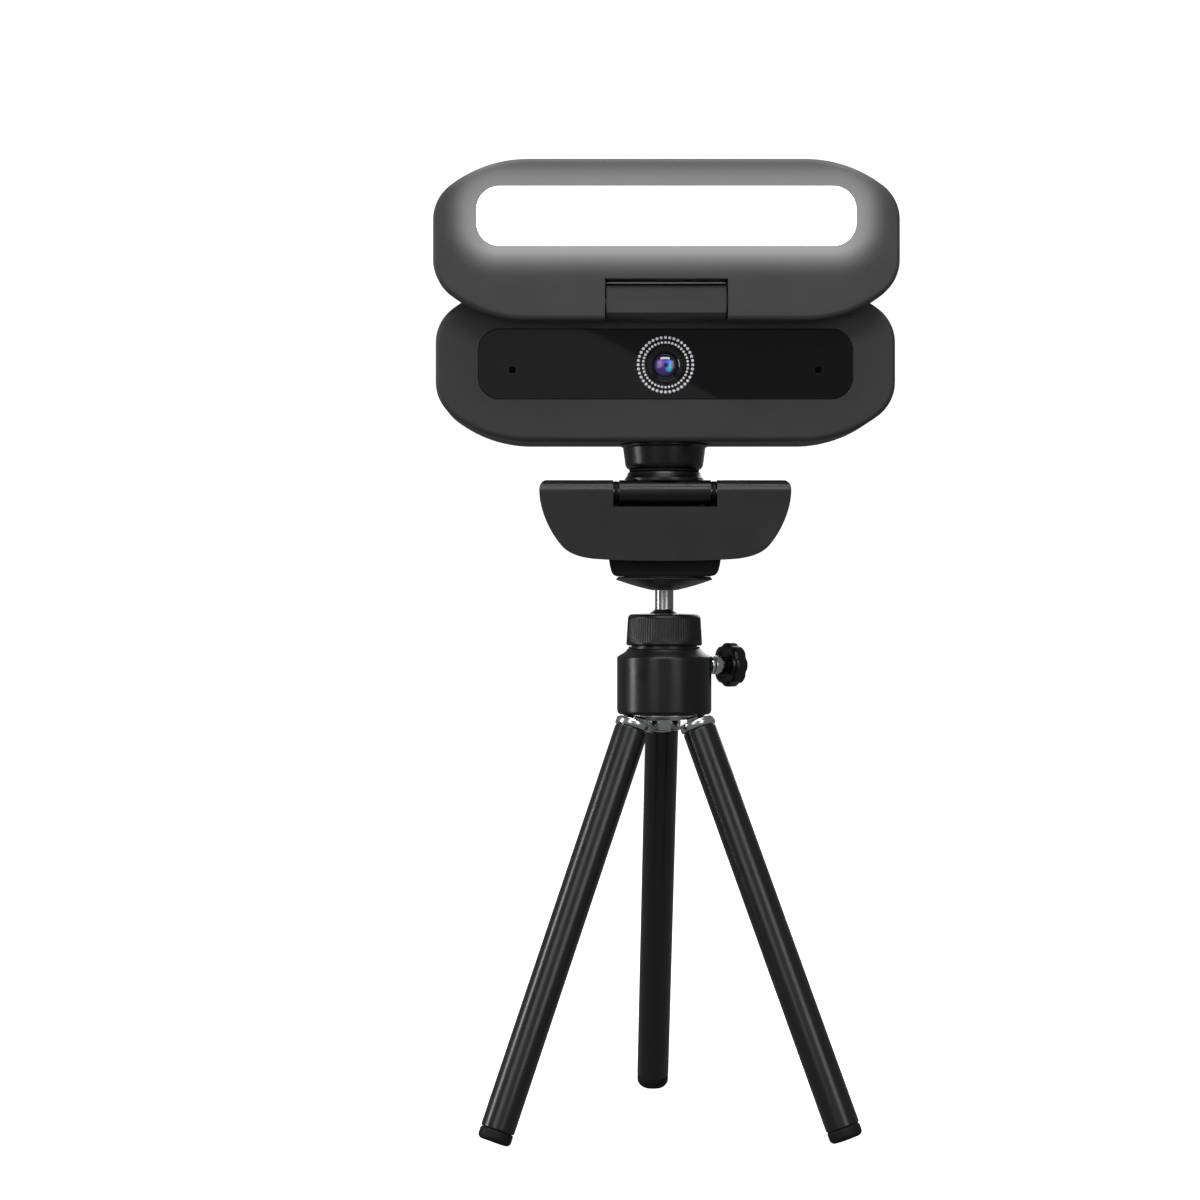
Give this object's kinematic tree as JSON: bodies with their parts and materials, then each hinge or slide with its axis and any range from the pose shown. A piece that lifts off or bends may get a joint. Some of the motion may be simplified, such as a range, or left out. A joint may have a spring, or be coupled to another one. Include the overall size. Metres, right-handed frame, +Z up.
{
  "type": "webcam on tripod",
  "caption": "Webcam with a fold-up light lid and a monitor clip, screwed to the ball head of a mini tripod with folding legs.",
  "frame": {"origin": "middle of the object's box, on the surface that the tripod stands on", "axes": "+Z up, the lens looks along -Y, +X is to the right of a viewer who faces the lens"},
  "size_m": [0.1128, 0.0828, 0.2376],
  "materials": {
    "body_plastic": "fine satin moulded",
    "clip_plastic": "satin moulded",
    "black_plastic": "semi-gloss moulded",
    "gloss_black": "polished",
    "lens_coating": "coated lens",
    "diffuser": "opal",
    "chrome": "polished",
    "steel": "turned",
    "brass": "turned",
    "leg_paint": "gloss black paint",
    "rubber": "matt",
    "circuit_board": "solder mask",
    "nylon": "natural nylon"
  },
  "bodies": {
    "tripod_head": {"head_body": "black_plastic", "ball_cap": "black_plastic", "leg_spider": "chrome", "spider_screw": "steel", "leg_pin_back": "steel", "leg_pin_left": "steel", "leg_pin_right": "steel"},
    "lock": {"lock_screw": "chrome", "lock_knob": "black_plastic"},
    "seat": {"ball_seat": "nylon"},
    "ball_stem": {"ball_stud": "steel", "mount_plate": "steel", "plate_pad": "rubber"},
    "clip_leg": {"clip_rear_leg": "black_plastic", "rear_pad": "rubber", "thread_insert": "brass", "clip_pin": "steel"},
    "clip_front": {"clip_front_plate": "clip_plastic", "front_pad": "rubber"},
    "tilt": {"tilt_base": "black_plastic", "neck_washer": "nylon"},
    "camera": {"camera_front_shell": "body_plastic", "camera_rear_shell": "body_plastic", "face_panel": "gloss_black", "lens_ring": "gloss_black", "lens_glass": "lens_coating", "lens_barrel": "black_plastic", "lens_holder": "black_plastic", "image_sensor": "gloss_black", "main_board": "circuit_board", "microphone_left": "steel", "microphone_right": "steel", "board_screw_left": "steel", "board_screw_right": "steel", "usb_board": "circuit_board", "usb_socket": "steel", "hinge_block": "body_plastic", "neck_cup": "black_plastic", "neck_nut": "steel", "swivel_screw": "steel"},
    "light_lid": {"lid_front_frame": "body_plastic", "lid_rear_shell": "body_plastic", "light_diffuser": "diffuser", "led_board": "circuit_board", "lid_hinge_pin": "steel"},
    "leg_back": {"leg_head_back": "black_plastic", "leg_ferrule_back": "chrome", "leg_tube_back": "leg_paint", "leg_foot_back": "rubber"},
    "leg_left": {"leg_head_left": "black_plastic", "leg_ferrule_left": "chrome", "leg_tube_left": "leg_paint", "leg_foot_left": "rubber"},
    "leg_right": {"leg_head_right": "black_plastic", "leg_ferrule_right": "chrome", "leg_tube_right": "leg_paint", "leg_foot_right": "rubber"}
  },
  "joints": [
    {"name": "leg_back_fold", "type": "hinge", "parent": "tripod_head", "child": "leg_back", "pos_m": [-0.00034, -0.00233, 0.1007], "axis": [-0.9993, -0.0384, 0], "range_deg": [0, 22]},
    {"name": "leg_left_fold", "type": "hinge", "parent": "tripod_head", "child": "leg_left", "pos_m": [-0.0076, -0.01609, 0.1007], "axis": [0.5329, -0.8462, 0], "range_deg": [0, 22]},
    {"name": "leg_right_fold", "type": "hinge", "parent": "tripod_head", "child": "leg_right", "pos_m": [0.00794, -0.01549, 0.1007], "axis": [0.4664, 0.8846, 0], "range_deg": [0, 22]},
    {"name": "lock_knob_turn", "type": "hinge", "parent": "tripod_head", "child": "lock", "pos_m": [0, -0.0113, 0.1145], "axis": [0.8387, 0.5446, 0], "range_deg": [0, 360]},
    {"name": "ball_pan", "type": "hinge", "parent": "tripod_head", "child": "seat", "pos_m": [0, -0.0113, 0.1229], "axis": [0, 0, 1], "continuous": true},
    {"name": "ball_tilt", "type": "hinge", "parent": "seat", "child": "ball_stem", "pos_m": [0, -0.0113, 0.1229], "axis": [1, 0, 0], "range_deg": [-25, 25]},
    {"name": "stud_turn", "type": "hinge", "parent": "ball_stem", "child": "clip_leg", "pos_m": [0, -0.0113, 0.136], "axis": [0, 0, 1], "continuous": true},
    {"name": "clip_open", "type": "hinge", "parent": "clip_leg", "child": "clip_front", "pos_m": [0, -0.0188, 0.1576], "axis": [-1, 0, 0], "range_deg": [0, 90]},
    {"name": "camera_tilt", "type": "hinge", "parent": "clip_leg", "child": "tilt", "pos_m": [0, -0.0188, 0.1576], "axis": [1, 0, 0], "range_deg": [-15, 25]},
    {"name": "camera_pan", "type": "hinge", "parent": "tilt", "child": "camera", "pos_m": [0, -0.0113, 0.1634], "axis": [0, 0, 1], "continuous": true},
    {"name": "lid_hinge", "type": "hinge", "parent": "camera", "child": "light_lid", "pos_m": [0, -0.0293, 0.2036], "axis": [1, 0, 0], "range_deg": [0, 180]}
  ]
}
